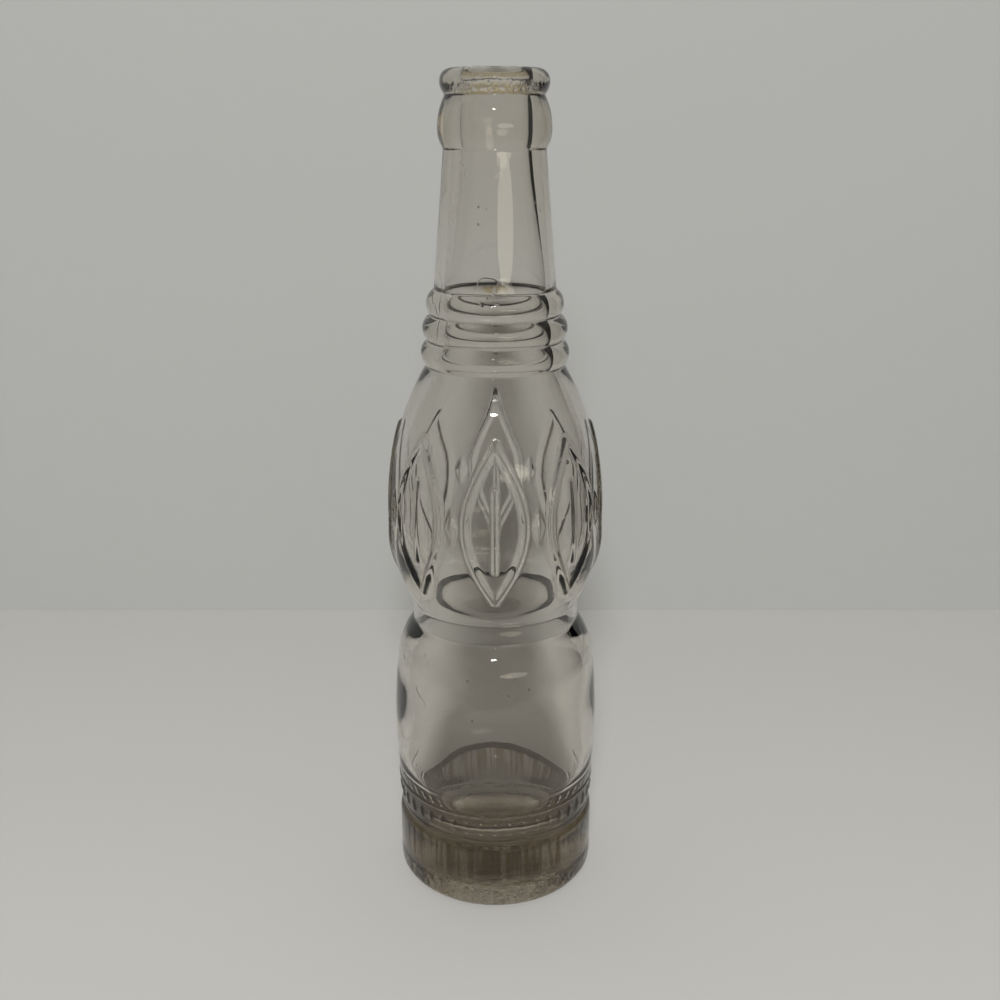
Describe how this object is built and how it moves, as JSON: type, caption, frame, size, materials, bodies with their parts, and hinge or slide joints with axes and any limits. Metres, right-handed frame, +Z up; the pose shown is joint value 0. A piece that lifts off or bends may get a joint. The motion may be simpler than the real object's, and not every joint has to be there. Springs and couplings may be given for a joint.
{
  "type": "glass soda bottle",
  "caption": "Clear glass soda bottle with a crown finish, stepped neck rings, a bulb over a narrow waist, a straight lower body and a thick heel.",
  "frame": {"origin": "on the axis, at the level that the foot stands on", "axes": "+Z up along the axis to the mouth, -Y towards the side that the picture shows"},
  "size_m": [0.0574, 0.0574, 0.2175],
  "materials": {
    "glass": "clear moulded glass with a faint warm grey tint"
  },
  "bodies": {
    "root": {"bottle": "glass"}
  },
  "joints": []
}
